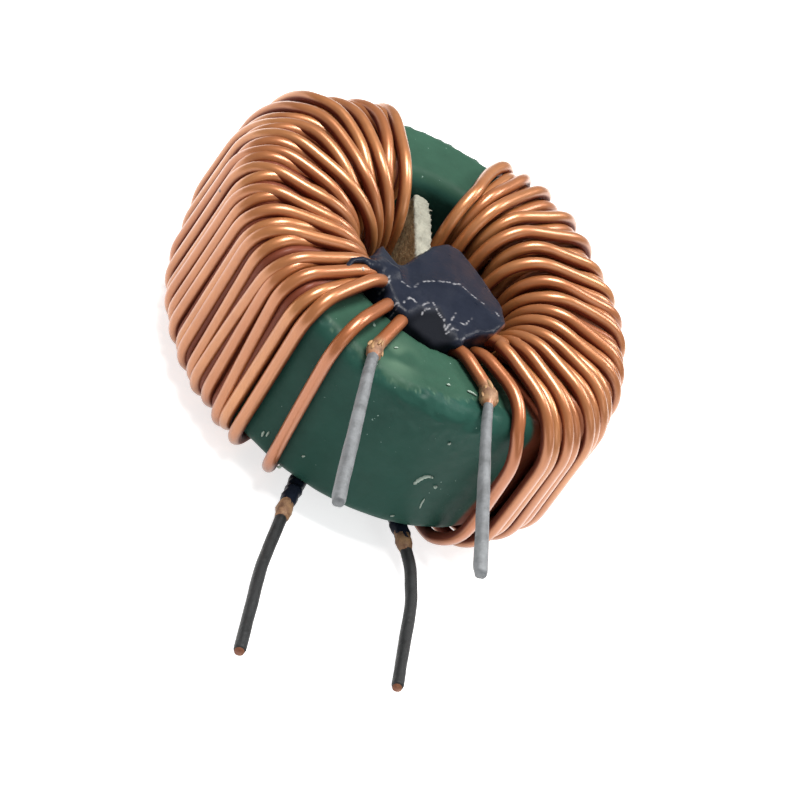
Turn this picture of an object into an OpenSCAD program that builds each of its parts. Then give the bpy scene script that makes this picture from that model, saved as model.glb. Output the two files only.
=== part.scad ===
// Toroidal common-mode inductor: a coated ferrite ring with two magnet wire windings, lying flat.
// Millimetres. +Z is the ring's axis, the four leads point towards -Y, and z = 0 is the flat
// surface under the lowest turns. Angles are measured round +Z from +X.

/* [Ferrite ring] */
// Outer diameter of the bare ferrite ring
core_od = 31; // [30:0.5:36]
// Inner diameter of the bare ferrite ring
core_id = 19; // [18.5:0.5:21]
// Height of the bare ferrite ring
core_h = 12; // [10:0.5:16]
// Radius of the ring's rounded edges
core_edge = 1.1; // [0.6:0.1:1.4]

/* [Epoxy coat] */
// Thickness of the epoxy coat on every side
coat_t = 0.4; // [0.2:0.05:0.5]

/* [Magnet wire] */
// Diameter of the wire over its enamel
wire_d = 0.9; // [0.7:0.05:0.9]
// Thickness of the enamel
enamel_t = 0.04; // [0.02:0.01:0.05]
// Air between the wire and the epoxy coat
wire_gap = 0.05; // [0.03:0.01:0.1]
// Air between the two layers of wire inside the hole
layer_gap = 0.5; // [0.4:0.05:0.6]

/* [Windings] */
// Number of turns in each winding
turns = 30; // [24:2:30]
// Angle between the last turn of a winding and the one before it
last_step = 6.5; // [6.2:0.1:7.5]
// How far the loose upper turns of the left winding stand off the outer wall
left_hump = 1.2; // [0.4:0.1:1.4]
// How far the loose first turns of the right winding stand off the outer wall
right_hump = 0.9; // [0.3:0.1:1.1]

/* [Leads] */
// Reach of the front left lead beyond the ring's rim
front_left_reach = 13.9; // [8:0.1:20]
// Reach of the front right lead beyond the ring's rim
front_right_reach = 14.6; // [8:0.1:20]
// Reach of the back left lead beyond the ring's rim
back_left_reach = 16.1; // [10:0.1:20]
// Reach of the back right lead beyond the ring's rim
back_right_reach = 13.5; // [8:0.1:20]
// Thickness of the tin on the stripped lead ends
tin_t = 0.06; // [0.04:0.01:0.1]

/* [Divider board] */
// Thickness of the board that parts the two windings
board_t = 1.3; // [1:0.1:1.6]
// Width of the board along the ring's axis
board_w = 8.4; // [6:0.2:10]
// Distance of the board's middle plane from the ring's axis, towards the left winding
board_offset = 0.3; // [0:0.1:0.8]
// How far the board stands turned about the ring's axis
board_turn = 3.5; // [0:0.5:6]

/* [Adhesive] */
// Height of the front adhesive over the ring's face
glue_proud = 1.4; // [1:0.1:1.6]
// Height of the back adhesive over the ring's face
back_proud = 1; // [0.8:0.1:1.2]
// Depth of each adhesive plug in the hole below the ring's face
glue_depth = 5.2; // [3:0.2:5.8]
// Thickness of the adhesive round each back lead
finger_t = 0.3; // [0.2:0.05:0.35]

/* [Hidden] */

// Coated ring
coat_ro = core_od / 2 + coat_t;
coat_ri = core_id / 2 - coat_t;
coat_top = core_h / 2 + coat_t;
coat_edge = core_edge + coat_t;

// Wire sizes, and the radii and height at which its centre runs round the coated ring
wire_r = wire_d / 2;
bare_r = wire_r - enamel_t;
outer_r = coat_ro + wire_gap + wire_r;
first_r = coat_ri - wire_gap - wire_r;
second_r = first_r - wire_d - layer_gap;
run_z = coat_top + wire_gap + wire_r;
snug_bend = coat_edge + wire_gap + wire_r;
loose_bend = snug_bend + 1.3;
second_rise = wire_d + 0.6 * layer_gap;
// Radii at half height of the inner turns, which bow in towards the divider, and their bend
mid_r = second_r - 0.1;
deep_r = second_r - 2.3;
deep_from = 15;
mid_bend = 6;
skin_gap = 0.01;
bond_gap = 0.02;
tin_r = bare_r + skin_gap + tin_t;
joint_lap = 0.02;
joint_step = 0.003;
// Air round the wires where the adhesive meets them, enough to join the air over the coat
room_gap = 0.07;
room_step = 0.015;

// Where each turn lies: pairs of turn number and angle, counted from the leads
right_places = [[0, -66], [1, -57], [28, 67.5]];
left_places = [[0, 240], [1, 230.5], [28, 119]];
// How many degrees further round each turn lies at the hole than on the outer wall
right_slant = [[0, 0], [4, 0], [12, 6], [29, 8]];
left_slant = [[0, 0], [4, 0], [12, -5], [20, -5], [29, -1]];
// How many degrees further round each turn reaches at the back end of the outer wall
right_lean = [[0, 8], [1, 8], [10, 2], [14, 0]];
left_lean = [[0, 4], [8, 4], [20, 0]];

// Angles at which the leads pass the edge of the hole
front_left_exit = 251;
front_right_exit = 276;
back_left_exit = 256;
back_right_exit = 286;

// Bends of each lead: sideways place, and distance beyond the ring's rim. The last is the tip.
front_left_bends = [[-5.3, -2.5], [-5.75, 0.3], [-7.3, front_left_reach]];
front_right_bends = [[4, -3.3], [3.77, 0.3], [3.5, front_right_reach]];
back_left_bends = [[-4.3, 0.5], [-5.8, 7.7], [-6.7, back_left_reach]];
back_right_bends = [[5.2, -1.2], [6.1, 1.7], [6.3, 5.1], [5.5, back_right_reach]];
lead_bend = 1.6;
far_bend = 6;
// Length of burnt enamel on each lead, from its first bend to its tin
front_left_burnt = 1;
front_right_burnt = 1.3;
back_left_burnt = 1.8;
back_right_burnt = 1.5;
tin_gap = 0.1;

// Outlines of the adhesive on the two faces, and the domes of their tops
front_glue_edge = [[-6.8, -5.2], [-6.2, -4.2], [-5.5, -2.4], [-4.2, -4], [-3.8, -3.7], [-1.1, 0.8],
                   [0.2, 2.2], [1.5, 2.3], [2.4, 1.2], [3.8, -0.9], [4.9, -3], [4.9, -5.3],
                   [4, -7], [2.6, -7.8], [0.8, -9.5], [-0.7, -10.1], [-2.8, -9.6], [-4.1, -9.1],
                   [-4.6, -8.2]];
back_glue_edge = [[-6.6, -5], [-5, -2], [-2, -0.4], [2, -0.4], [5, -2], [6.6, -5], [4.6, -8],
                  [3, -9.4], [0, -9.9], [-3, -9.4], [-4.6, -8]];
dome_r = 30;
dome_y = -4;
// Part of the hole's edge that no turn covers, where the adhesive reaches over the face
bare_from = 246;
front_bare_to = 288;
back_bare_to = 286;
// How far short of the lead's bends each finger of adhesive stops
finger_stop = 0.3;
// Largest step of a leg round the hole, apart from the leads' own legs
leg_step = 13;

function unit(v) = v / norm(v);
function polar(r, a, z) = [r * cos(a), r * sin(a), z];
function on_rim(p, z) = [p.x, -(coat_ro + p.y), z];

// Order of the turns along the wire: every second place on the way out, the rest on the way back
function place_of(t) = t < turns / 2 ? 2 * t : turns - 1 - 2 * (t - turns / 2);
function right_angle(k) =
    k == turns - 1 ? lookup(k - 1, right_places) + last_step : lookup(k, right_places);
function left_angle(k) =
    k == turns - 1 ? lookup(k - 1, left_places) - last_step : lookup(k, left_places);

// Stand-off of every second turn on the outer wall
function right_off(k) = k % 2 == 0 ? 0.08 * (1 + sin(97 * k)) :
    lookup(k, [[1, right_hump], [5, right_hump], [11, 0.4], [17, 0.4], [23, right_hump],
               [turns - 3, right_hump], [turns - 1, 0.3]]);
function left_off(k) = k % 2 == 0 ? 0.08 * (1 + sin(97 * k)) :
    lookup(k, [[1, 0.05], [7, 0.2], [15, left_hump], [turns - 3, left_hump], [turns - 1, 0.3]]);

// A leg inside the hole is in the first layer until the last turn's front, then in the second
function leg_r(leg) = leg <= turns / 2 ? first_r : second_r;
function leg_rise(leg) = leg <= turns / 2 ? 0 : second_rise;
function leg_bend(leg) = leg <= turns / 2 ? snug_bend : loose_bend;

// A turn that stands off the wall by a distance stands off the faces by this share of it, and
// each millimetre of it lets the bend at the ring's rim grow by this much
off_rise = 0.8;
off_bend = 2.7;

// The corners of turn t: back of the hole, back of the wall, front of the wall, front of the
// hole, and half way down the hole on the way back. Each is a point and its bend's radius.
function turn_corners(t, k, a, slant, lean, off) = [
    [polar(leg_r(t), a + slant, -run_z - leg_rise(t)), leg_bend(t)],
    [polar(outer_r / cos(lean / 2) + off, a + lean, -run_z - off_rise * off),
     snug_bend + off_bend * off],
    [polar(outer_r / cos(lean / 2) + off, a, run_z + off_rise * off), snug_bend + off_bend * off],
    [polar(leg_r(t + 1), a + slant, run_z + leg_rise(t + 1)), leg_bend(t + 1)],
    if (t >= turns / 2 && t < turns - 1)
        [polar(k >= deep_from && k % 4 == 1 ? deep_r : mid_r, a + slant, 0), mid_bend]
];
right_turns = [for (t = [0 : turns - 1]) let (k = place_of(t))
    each turn_corners(t, k, right_angle(k), lookup(k, right_slant), lookup(k, right_lean),
                      right_off(k))];
left_turns = [for (t = [0 : turns - 1]) let (k = place_of(t))
    each turn_corners(t, k, left_angle(k), lookup(k, left_slant), lookup(k, left_lean),
                      left_off(k))];

// Corners of each lead: the edge of the hole, the first bend and the start of the tin
function tin_start(bends, z, burnt) =
    on_rim(bends[0], z) + burnt * unit(on_rim(bends[1], z) - on_rim(bends[0], z));
function lead_corners(exit, bends, r, z, burnt) = [
    [polar(r, exit, z), snug_bend],
    [on_rim(bends[0], z), lead_bend],
    [tin_start(bends, z, burnt), 0]
];
front_left = lead_corners(front_left_exit, front_left_bends, first_r, run_z, front_left_burnt);
front_right = lead_corners(front_right_exit, front_right_bends, first_r, run_z, front_right_burnt);
back_left = lead_corners(back_left_exit, back_left_bends, second_r, -run_z, back_left_burnt);
back_right = lead_corners(back_right_exit, back_right_bends, second_r, -run_z, back_right_burnt);

// Corners of a lead's stripped end, from the given distance past its first bend to its tip
function end_corners(bends, z, from, beyond = 0) = let (last = len(bends) - 1)
    [[tin_start(bends, z, from), 0],
     for (i = [1 : last]) let (way = unit(on_rim(bends[i], z) - on_rim(bends[i - 1], z)))
         [on_rim(bends[i], z) + (i == last ? beyond : 0) * way, far_bend]];

function reversed(list) = [for (i = [len(list) - 1 : -1 : 0]) list[i]];
left_route = concat(reversed(front_left), left_turns, back_left);
right_route = concat(reversed(front_right), right_turns, back_right);

// Directions, turning angle and cut-back at corner i of a route
function way_in(route, i) = unit(route[i][0] - route[i - 1][0]);
function way_out(route, i) = unit(route[i + 1][0] - route[i][0]);
function turning(route, i) = acos(way_in(route, i) * way_out(route, i));
function cut_back(route, i) =
    i == 0 || i == len(route) - 1 ? 0 : route[i][1] * tan(turning(route, i) / 2);
function bend_axis(route, i) = unit(cross(way_in(route, i), way_out(route, i)));
function bend_start(route, i) = route[i][0] - cut_back(route, i) * way_in(route, i);
function bend_end(route, i) = route[i][0] + cut_back(route, i) * way_out(route, i);
function bend_centre(route, i) =
    bend_start(route, i) + route[i][1] * cross(bend_axis(route, i), way_in(route, i));

// Lowest point of the wire at corner i, where its bend crosses the level
function corner_low(route, i) = bend_centre(route, i).z
    - route[i][1] * sqrt(1 - pow(bend_axis(route, i).z, 2)) - wire_r;
function route_low(route) = min([for (i = [1 : len(route) - 2])
    if (route[i][0].z < 0 && abs(bend_axis(route, i).z) < 0.5) corner_low(route, i)]);
ring_z = -min(route_low(left_route), route_low(right_route));

// Place for a shape drawn from the origin: x, y and z are the new axes, p the new origin
module placed(x, y, z, p) {
    multmatrix([[x.x, y.x, z.x, p.x], [x.y, y.y, z.y, p.y], [x.z, y.z, z.z, p.z], [0, 0, 0, 1]])
        children();
}

// Round bar from p to q
module bar(p, q, r) {
    z = unit(q - p);
    x = unit(cross(abs(z.z) < 0.9 ? [0, 0, 1] : [0, 1, 0], z));
    placed(x, cross(z, x), z, p)
        cylinder(h = norm(q - p), r = r, $fn = 32);
}

// The bend at corner i of a route
module elbow(route, i, r) {
    axis = bend_axis(route, i);
    way = way_in(route, i);
    placed(cross(way, axis), way, axis, bend_centre(route, i))
        rotate_extrude(angle = turning(route, i), $fn = 72)
            translate([route[i][1], 0]) circle(r = r, $fn = 32);
}

// Stretch of a route from corner a to corner b. The straight bars are a hair thinner than the
// bends and reach a little into them, so that each joint is a clean circle.
module run(route, a, b, r, step = joint_step) {
    for (first = [a : 4 : b]) union()
        for (i = [first : min(first + 3, b)]) {
            if (i > 0 && i < len(route) - 1) elbow(route, i, r);
            if (i < b) bar(bend_end(route, i) - joint_lap * way_out(route, i),
                           bend_start(route, i + 1) + joint_lap * way_out(route, i), r - step);
        }
}

// Ring with a rounded section
module ring(ri, ro, h, edge) {
    rotate_extrude($fn = 180) {
        translate([ri + edge, -h / 2]) square([ro - ri - 2 * edge, h]);
        translate([ri, -h / 2 + edge]) square([ro - ri, h - 2 * edge]);
        for (x = [ri + edge, ro - edge], y = [edge - h / 2, h / 2 - edge])
            translate([x, y]) circle(r = edge, $fn = 48);
    }
}

module ferrite_ring() {
    color([0.16, 0.16, 0.17]) translate([0, 0, ring_z])
        ring(core_id / 2, core_od / 2, core_h, core_edge);
}

module epoxy_coat() {
    color([0.22, 0.42, 0.34]) translate([0, 0, ring_z]) difference() {
        ring(coat_ri, coat_ro, 2 * coat_top, coat_edge);
        ring(core_id / 2, core_od / 2, core_h, core_edge);
    }
}

// Enamelled wire along its whole route, with the bare copper of its two ends
module winding(route, front_bends, front_burnt, back_bends, back_burnt) {
    front_end = end_corners(front_bends, run_z, front_burnt);
    back_end = end_corners(back_bends, -run_z, back_burnt);
    color([0.78, 0.45, 0.28]) translate([0, 0, ring_z]) {
        run(route, 0, len(route) - 1, wire_r);
        run(front_end, 0, len(front_end) - 1, bare_r);
        run(back_end, 0, len(back_end) - 1, bare_r);
    }
}

module winding_left() {
    winding(left_route, front_left_bends, front_left_burnt, back_left_bends, back_left_burnt);
}

module winding_right() {
    winding(right_route, front_right_bends, front_right_burnt, back_right_bends, back_right_burnt);
}

// Board of pressed fibre across the hole, bedded in the adhesive at its lower end
module board_solid(gap) {
    foot = second_r - wire_d - layer_gap;
    head = sqrt(pow(coat_ri, 2) - pow(board_offset + board_t / 2, 2)) - bond_gap;
    rotate([0, 0, board_turn])
        translate([-board_offset - board_t / 2 - gap, -foot - gap, -board_w / 2 - gap])
            cube([board_t + 2 * gap, foot + head + gap, board_w + 2 * gap]);
}

module divider_board() {
    color([0.74, 0.73, 0.64]) translate([0, 0, ring_z]) board_solid(0);
}

// Room for the legs and leads that pass through the adhesive at one winding's ends
module wire_room(route) {
    last = len(route) - 1;
    run(route, 0, 3, wire_r + room_gap, room_step);
    run(route, last - 3, last, wire_r + room_gap, room_step);
}

// Adhesive cast in the hole: level is the height of its outer face, floor that of its inner one
module glue_plug(edge, level, floor, bare_to) {
    free_r = mid_r * cos(leg_step / 2) - wire_r - bond_gap;
    reach = 1.5 * coat_ri;
    low = min(level, floor);
    high = max(level, floor);
    intersection() {
        translate([0, 0, low]) linear_extrude(high - low) polygon(edge);
        translate([0, dome_y, level - sign(level) * dome_r]) sphere(r = dome_r, $fn = 120);
        translate([0, 0, low]) linear_extrude(high - low) {
            circle(r = free_r, $fn = 120);
            polygon([[0, 0], [reach * cos(bare_from), reach * sin(bare_from)],
                     [reach * cos(bare_to), reach * sin(bare_to)]]);
        }
    }
}

// What the adhesive flows round: the coated ring, the wires and the board
module glue_hollow() {
    ring(coat_ri - bond_gap, coat_ro + bond_gap, 2 * (coat_top + bond_gap), coat_edge + bond_gap);
    wire_room(left_route);
    wire_room(right_route);
    board_solid(bond_gap);
}

module glue_front() {
    color([0.2, 0.21, 0.27]) translate([0, 0, ring_z]) difference() {
        glue_plug(front_glue_edge, coat_top + glue_proud, coat_top - glue_depth,
                  front_bare_to);
        glue_hollow();
    }
}

// Finger of adhesive that runs out along a back lead to the ring's rim
module finger(route) {
    i = len(route) - 3;
    stop = finger_stop * way_out(route, i);
    bar(bend_end(route, i) + stop, bend_start(route, i + 1) - stop, wire_r + finger_t);
}

module glue_back() {
    color([0.2, 0.21, 0.27]) translate([0, 0, ring_z]) difference() {
        union() {
            glue_plug(back_glue_edge, -coat_top - back_proud, glue_depth - coat_top,
                      back_bare_to);
            intersection() {
                union() {
                    finger(left_route);
                    finger(right_route);
                }
                translate([0, 0, -2 * coat_top]) cylinder(h = 2 * coat_top, r = coat_ro - 0.3, $fn = 120);
            }
        }
        glue_hollow();
    }
}

// Tin on a lead's stripped end
module tin(bends, z, burnt) {
    outside = end_corners(bends, z, burnt + tin_gap);
    bore = end_corners(bends, z, burnt, 1);
    color([0.68, 0.68, 0.7]) translate([0, 0, ring_z]) difference() {
        run(outside, 0, len(outside) - 1, tin_r);
        run(bore, 0, len(bore) - 1, bare_r + skin_gap);
    }
}

module tin_front_left() {
    tin(front_left_bends, run_z, front_left_burnt);
}

module tin_front_right() {
    tin(front_right_bends, run_z, front_right_burnt);
}

module tin_back_left() {
    tin(back_left_bends, -run_z, back_left_burnt);
}

module tin_back_right() {
    tin(back_right_bends, -run_z, back_right_burnt);
}

ferrite_ring();
epoxy_coat();
winding_left();
winding_right();
divider_board();
glue_front();
glue_back();
tin_front_left();
tin_front_right();
tin_back_left();
tin_back_right();
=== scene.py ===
"""A toroidal common mode choke: a green coated ring with two copper windings, tinned leads,
a fibre divider and black adhesive. All lengths in the formulas are millimetres from the
centre of the ring, with +Z along its axis, and are turned to metres when a mesh is made."""

import bpy
import numpy as np
from mathutils import Matrix, Vector


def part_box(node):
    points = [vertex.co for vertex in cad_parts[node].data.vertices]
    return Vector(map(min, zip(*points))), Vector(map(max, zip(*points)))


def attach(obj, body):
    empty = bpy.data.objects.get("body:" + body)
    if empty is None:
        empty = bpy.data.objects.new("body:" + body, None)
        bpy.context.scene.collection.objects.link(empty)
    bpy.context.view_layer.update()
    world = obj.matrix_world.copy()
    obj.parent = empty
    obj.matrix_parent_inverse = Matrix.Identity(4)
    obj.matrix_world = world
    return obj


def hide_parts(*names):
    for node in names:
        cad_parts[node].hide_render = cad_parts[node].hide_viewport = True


bl_info = {
    "name": "Toroidal choke",
    "version": (1, 0, 0),
    "blender": (4, 5, 0),
    "location": "View3D > Sidebar > Choke",
    "description": "Builds the looks of a wound toroidal choke around its solid model",
    "category": "Object",
}

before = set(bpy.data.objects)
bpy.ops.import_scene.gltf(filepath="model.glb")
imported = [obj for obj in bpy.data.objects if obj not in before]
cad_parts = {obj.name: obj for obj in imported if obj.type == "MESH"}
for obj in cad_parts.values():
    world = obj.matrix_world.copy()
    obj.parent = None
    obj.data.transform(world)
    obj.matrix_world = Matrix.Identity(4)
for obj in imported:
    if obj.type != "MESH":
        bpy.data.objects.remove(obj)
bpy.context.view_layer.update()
MM = 0.001


# ---------------------------------------------------------------- sizes taken from the frame

def node_box(node):
    """Lowest and highest corner of a solid, in millimetres."""
    low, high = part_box(node)
    return np.array(low) / MM, np.array(high) / MM


COAT_LOW, COAT_HIGH = node_box("epoxy_coat")
RING_Z = (COAT_LOW[2] + COAT_HIGH[2]) / 2
COAT_TOP = (COAT_HIGH[2] - COAT_LOW[2]) / 2
COAT_RO = COAT_HIGH[0]


# ---------------------------------------------------------------- settings

def length(name, about, default, low, high):
    """A size setting, in millimetres."""
    return bpy.props.FloatProperty(name=name, description=about, default=default,
                                   min=low, max=high)


def colour(name, about, red, green, blue):
    """A colour setting."""
    return bpy.props.FloatVectorProperty(name=name, description=about, subtype="COLOR", size=4,
                                         default=(red, green, blue, 1), min=0, max=1)


class ChokeSizes(bpy.types.PropertyGroup):
    """Sizes of the parts, in millimetres."""
    coat_inner: length("Hole radius", "Radius of the coated ring's hole", 9.1, 8, 11)
    coat_edge: length("Edge radius", "Radius of the coated ring's edges", 1.5, 0.8, 2)
    wire: length("Wire diameter", "Diameter of the magnet wire over its enamel", 1.0, 0.7, 1.05)
    turns: bpy.props.IntProperty(
        name="Turns", description="Turns in each winding", default=30, min=24, max=30)
    unevenness: length("Unevenness", "How much the turns stray from an even winding", 1, 0, 1.5)
    board: length("Board thickness", "Thickness of the divider board", 1.6, 1, 1.7)
    glue_step: length("Adhesive detail", "Distance between the points of the adhesive's skin",
                      0.12, 0.08, 0.4)


class ChokeFinish(bpy.types.PropertyGroup):
    """Colours of the materials."""
    copper: colour("Enamelled copper", "Colour of the wire through its enamel",
                   0.51, 0.186, 0.058)
    coat: colour("Epoxy coat", "Colour of the ring's coat", 0.0235, 0.083, 0.063)
    glue: colour("Adhesive", "Colour of the black adhesive", 0.0125, 0.0160, 0.028)
    board: colour("Fibre board", "Colour of the divider's cut edge", 0.31, 0.305, 0.25)
    tin: colour("Tin", "Colour of the tinned lead ends", 0.215, 0.225, 0.235)


def sizes():
    """The sizes as they are set."""
    return bpy.context.scene.choke_sizes


def finish():
    """The colours as they are set."""
    return bpy.context.scene.choke_finish


# ---------------------------------------------------------------- vectors and curves

def unit(v):
    """Vectors of length one, along the last axis."""
    return v / np.linalg.norm(v, axis=-1, keepdims=True)


def polar(r, degrees, z):
    """Points at radius r, an angle round +Z and height z."""
    a = np.radians(degrees)
    return np.stack(np.broadcast_arrays(r * np.cos(a), r * np.sin(a), z), -1)


def lookup(k, pairs):
    """Value at k on straight lines between pairs of place and value."""
    at, value = zip(*pairs)
    return np.interp(k, at, value)


def bell(x, middle, width):
    """A bell curve of height one."""
    return np.exp(-0.5 * ((x - middle) / width) ** 2)


def ramp(x, start, end):
    """A smooth step from 0 at start to 1 at end."""
    t = np.clip((x - start) / (end - start), 0, 1)
    return t * t * (3 - 2 * t)


def rough(points, pitch, seed, waves=28):
    """Smooth unsteady value about 0, mostly within -1 to 1: a sum of plane sine waves in
    random directions, with wave lengths near the pitch."""
    rng = np.random.default_rng(seed)
    way = unit(rng.normal(size=(waves, 3)))
    way *= 6.2832 / pitch * rng.uniform(0.6, 1.6, (waves, 1))
    phase = rng.uniform(0, 6.2832, waves)
    total = np.zeros(points.shape[:-1])
    for k, p in zip(way, phase):
        total += np.sin(points @ k + p)
    return total / np.sqrt(waves)


def path_length(path):
    """Distance along a path to each of its points."""
    gaps = np.linalg.norm(np.diff(path[:, :3], axis=0), axis=1)
    return np.concatenate([[0], np.cumsum(gaps)])


def resample(path, step):
    """The same path with points an even distance apart, by linear steps along its length."""
    along = path_length(path)
    even = np.linspace(0, along[-1], max(2, int(round(along[-1] / step)) + 1))
    return np.stack([np.interp(even, along, column) for column in path.T], -1)


def eased(path, width, step):
    """The path smoothed by a bell curve of the given width, with its two ends held."""
    reach = int(4 * width / step)
    curve = bell(np.arange(-reach, reach + 1) * step, 0, width)
    curve /= curve.sum()
    padded = np.concatenate([
        2 * path[0] - path[reach:0:-1], path, 2 * path[-1] - path[-2:-reach - 2:-1]])
    return np.stack([np.convolve(column, curve, "valid") for column in padded.T], -1)


def filleted(corners, bends, arc_points=14):
    """A path of straight lines through the corners, each corner rounded by an arc: the arc
    starts bend * tan(half the turning angle) before the corner, and its centre lies at
    right angles to the way in, on the inside of the turn. Further columns keep the corner's
    own value along its arc."""
    place, extra = corners[:, :3], corners[:, 3:]
    way = unit(np.diff(place, axis=0))
    way_in, way_out, at = way[:-1], way[1:], place[1:-1]
    bend = np.asarray(bends, float)[1:-1, None]
    turning = np.arccos(np.clip((way_in * way_out).sum(-1, keepdims=True), -1, 1))
    start = at - bend * np.tan(turning / 2) * way_in
    axis = unit(np.cross(way_in, way_out) + 1e-12)
    inward = np.cross(axis, way_in)
    angle = turning[:, None] * np.linspace(0, 1, arc_points)[None, :, None]
    arcs = (start[:, None] + bend[:, None] * (np.sin(angle) * way_in[:, None]
            + (1 - np.cos(angle)) * inward[:, None]))
    kept = np.repeat(extra[1:-1, None], arc_points, axis=1)
    arcs = np.concatenate([arcs, kept], -1).reshape(-1, corners.shape[1])
    return np.concatenate([corners[:1], arcs, corners[-1:]])


# ---------------------------------------------------------------- meshes

def new_piece(name, points, faces, material, node_names, slot, values=None, smooth=True):
    """A mesh object from points in millimetres about the ring's centre, riding on the part.
    The values are numbers per point that the material reads by their names."""
    mesh = bpy.data.meshes.new(name)
    place = (np.asarray(points) + [0, 0, RING_Z]) * MM
    mesh.from_pydata(place.tolist(), [], faces)
    for key, value in (values or {}).items():
        layer = mesh.attributes.new(key, "FLOAT", "POINT")
        layer.data.foreach_set("value", np.asarray(value, np.float32))
    mesh.polygons.foreach_set("use_smooth", [smooth] * len(mesh.polygons))
    mesh.materials.append(material)
    mesh.update()
    piece = bpy.data.objects.new(name, mesh)
    bpy.context.scene.collection.objects.link(piece)
    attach(piece, "root")
    if node_names:
        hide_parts(*node_names)
    return piece


def grid_faces(rows, cols, wrap_rows=False, wrap_cols=True):
    """Four-cornered faces between neighbouring points of a rows by cols grid."""
    r = np.arange(rows if wrap_rows else rows - 1)[:, None]
    c = np.arange(cols if wrap_cols else cols - 1)[None, :]
    r2, c2 = (r + 1) % rows, (c + 1) % cols
    quads = np.stack(np.broadcast_arrays(
        r * cols + c, r * cols + c2, r2 * cols + c2, r2 * cols + c), -1)
    return quads.reshape(-1, 4).tolist()


def fan(middle, ring):
    """Three-cornered faces between one point and a ring of points, in the ring's order."""
    return np.stack([np.full(len(ring), middle), ring, np.roll(ring, -1)], -1).tolist()


def closed_grid_faces(rows, cols):
    """Faces of a grid that is wrapped round and closed on one point at each end."""
    first, last = np.arange(cols), np.arange((rows - 1) * cols, rows * cols)
    return (grid_faces(rows, cols) + fan(rows * cols, first[::-1])
            + fan(rows * cols + 1, last))


def round_sides(sides):
    """Angles of a tube's sides."""
    return np.linspace(0, 2 * np.pi, sides, endpoint=False)


def tube(path, radius, sides):
    """A round tube along a path: each ring lies at right angles to the path, in a frame whose
    first side leans towards the ring's own way round, and the ends close on one point. The
    radius may differ from ring to ring and from side to side."""
    path = path[:, :3]
    ahead = unit(np.gradient(path, axis=0))
    round_z = unit(np.stack([-path[:, 1], path[:, 0], 0 * path[:, 0]], -1))
    side = unit(round_z - (round_z * ahead).sum(-1, keepdims=True) * ahead)
    up = np.cross(ahead, side)
    turn = round_sides(sides)[None, :, None]
    radius = np.broadcast_to(np.asarray(radius, float), (len(path), sides))
    rings = (path[:, None] + radius[..., None] * (
        np.cos(turn) * side[:, None] + np.sin(turn) * up[:, None]))
    points = np.concatenate([rings.reshape(-1, 3), path[:1], path[-1:]])
    return points, closed_grid_faces(len(path), sides)


def tube_places(along, sides):
    """Places for noise on a tube: the distance along it, and a small circle across it."""
    turn = round_sides(sides)
    return np.stack(np.broadcast_arrays(
        along[:, None], 0.5 * np.cos(turn), 0.5 * np.sin(turn)), -1)


def per_ring(value, sides):
    """One value for each ring of a tube, given to all its points and its two end points."""
    value = np.asarray(value, float)
    return np.concatenate([np.repeat(value, sides), value[:1], value[-1:]])


def ball(middle, radius, cols=12, rows=9):
    """A small ball: rings of points between two poles."""
    turn, rise = np.meshgrid(round_sides(cols), np.linspace(-1.35, 1.35, rows))
    ring = np.stack([np.cos(rise) * np.cos(turn), np.cos(rise) * np.sin(turn), np.sin(rise)], -1)
    points = np.concatenate([ring.reshape(-1, 3), [(0, 0, -1), (0, 0, 1)]]) * radius + middle
    return points, closed_grid_faces(rows, cols)


def joined(pieces):
    """Several sets of points and faces as one."""
    points, faces, first = [], [], 0
    for some_points, some_faces in pieces:
        points.append(some_points)
        faces += [[first + i for i in face] for face in some_faces]
        first += len(some_points)
    return np.concatenate(points), faces


# Each axis with the two others, in turning order
AXES = ((0, 1, 2), (1, 2, 0), (2, 0, 1))


def skin(distance, low, high, step):
    """The closed surface where a distance formula is zero. The formula is worked out on a
    grid. Each cell of the grid that the surface crosses gets one point, the mean of the places
    where its edges cross zero, and each crossed edge gets a face between the four cells round
    it. Two Newton steps then draw the points onto the surface."""
    axes = [np.arange(a, b + step, step) for a, b in zip(low, high)]
    value = distance(np.stack(np.meshgrid(*axes, indexing="ij"), -1))
    inside = value < 0
    shape = tuple(n - 1 for n in value.shape)
    total, count = np.zeros(shape + (3,)), np.zeros(shape)
    for axis, one, two in AXES:
        for shift_one, shift_two in ((0, 0), (0, 1), (1, 0), (1, 1)):
            start = [slice(0, n) for n in shape]
            start[one] = slice(shift_one, shift_one + shape[one])
            start[two] = slice(shift_two, shift_two + shape[two])
            end = list(start)
            end[axis] = slice(1, None)
            near, far = value[tuple(start)], value[tuple(end)]
            crossed = (near < 0) != (far < 0)
            share = np.where(crossed, near / np.where(crossed, near - far, 1), 0)
            total[..., axis] += share * crossed
            total[..., one] += shift_one * crossed
            total[..., two] += shift_two * crossed
            count += crossed
    cells = np.argwhere(count > 0)
    points = cells + total[count > 0] / count[count > 0][:, None]
    points = points * step + np.array([a[0] for a in axes])
    number = np.full(shape, -1)
    number[count > 0] = np.arange(len(cells))
    faces = []
    for axis, one, two in AXES:
        before = np.take(inside, np.arange(shape[axis]), axis)
        after = np.take(inside, np.arange(1, shape[axis] + 1), axis)
        edge = np.argwhere(before != after)
        back_one, back_two = np.eye(3, dtype=int)[one], np.eye(3, dtype=int)[two]
        ring = (edge - back_one - back_two, edge - back_two, edge, edge - back_one)
        quad = np.stack([number[tuple(cell.T)] for cell in ring], -1)
        facing_back = ~before[tuple(edge.T)]
        quad[facing_back] = quad[facing_back, ::-1]
        faces += quad.tolist()
    reach = 0.3 * step
    for _ in range(2):
        slope = np.stack([distance(points + way) - distance(points - way)
                          for way in np.eye(3) * reach], -1) / (2 * reach)
        steep = np.maximum((slope ** 2).sum(-1, keepdims=True), 0.3)
        points = points - np.clip(distance(points)[:, None] * slope / steep, -reach, reach)
    return points, faces


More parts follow.
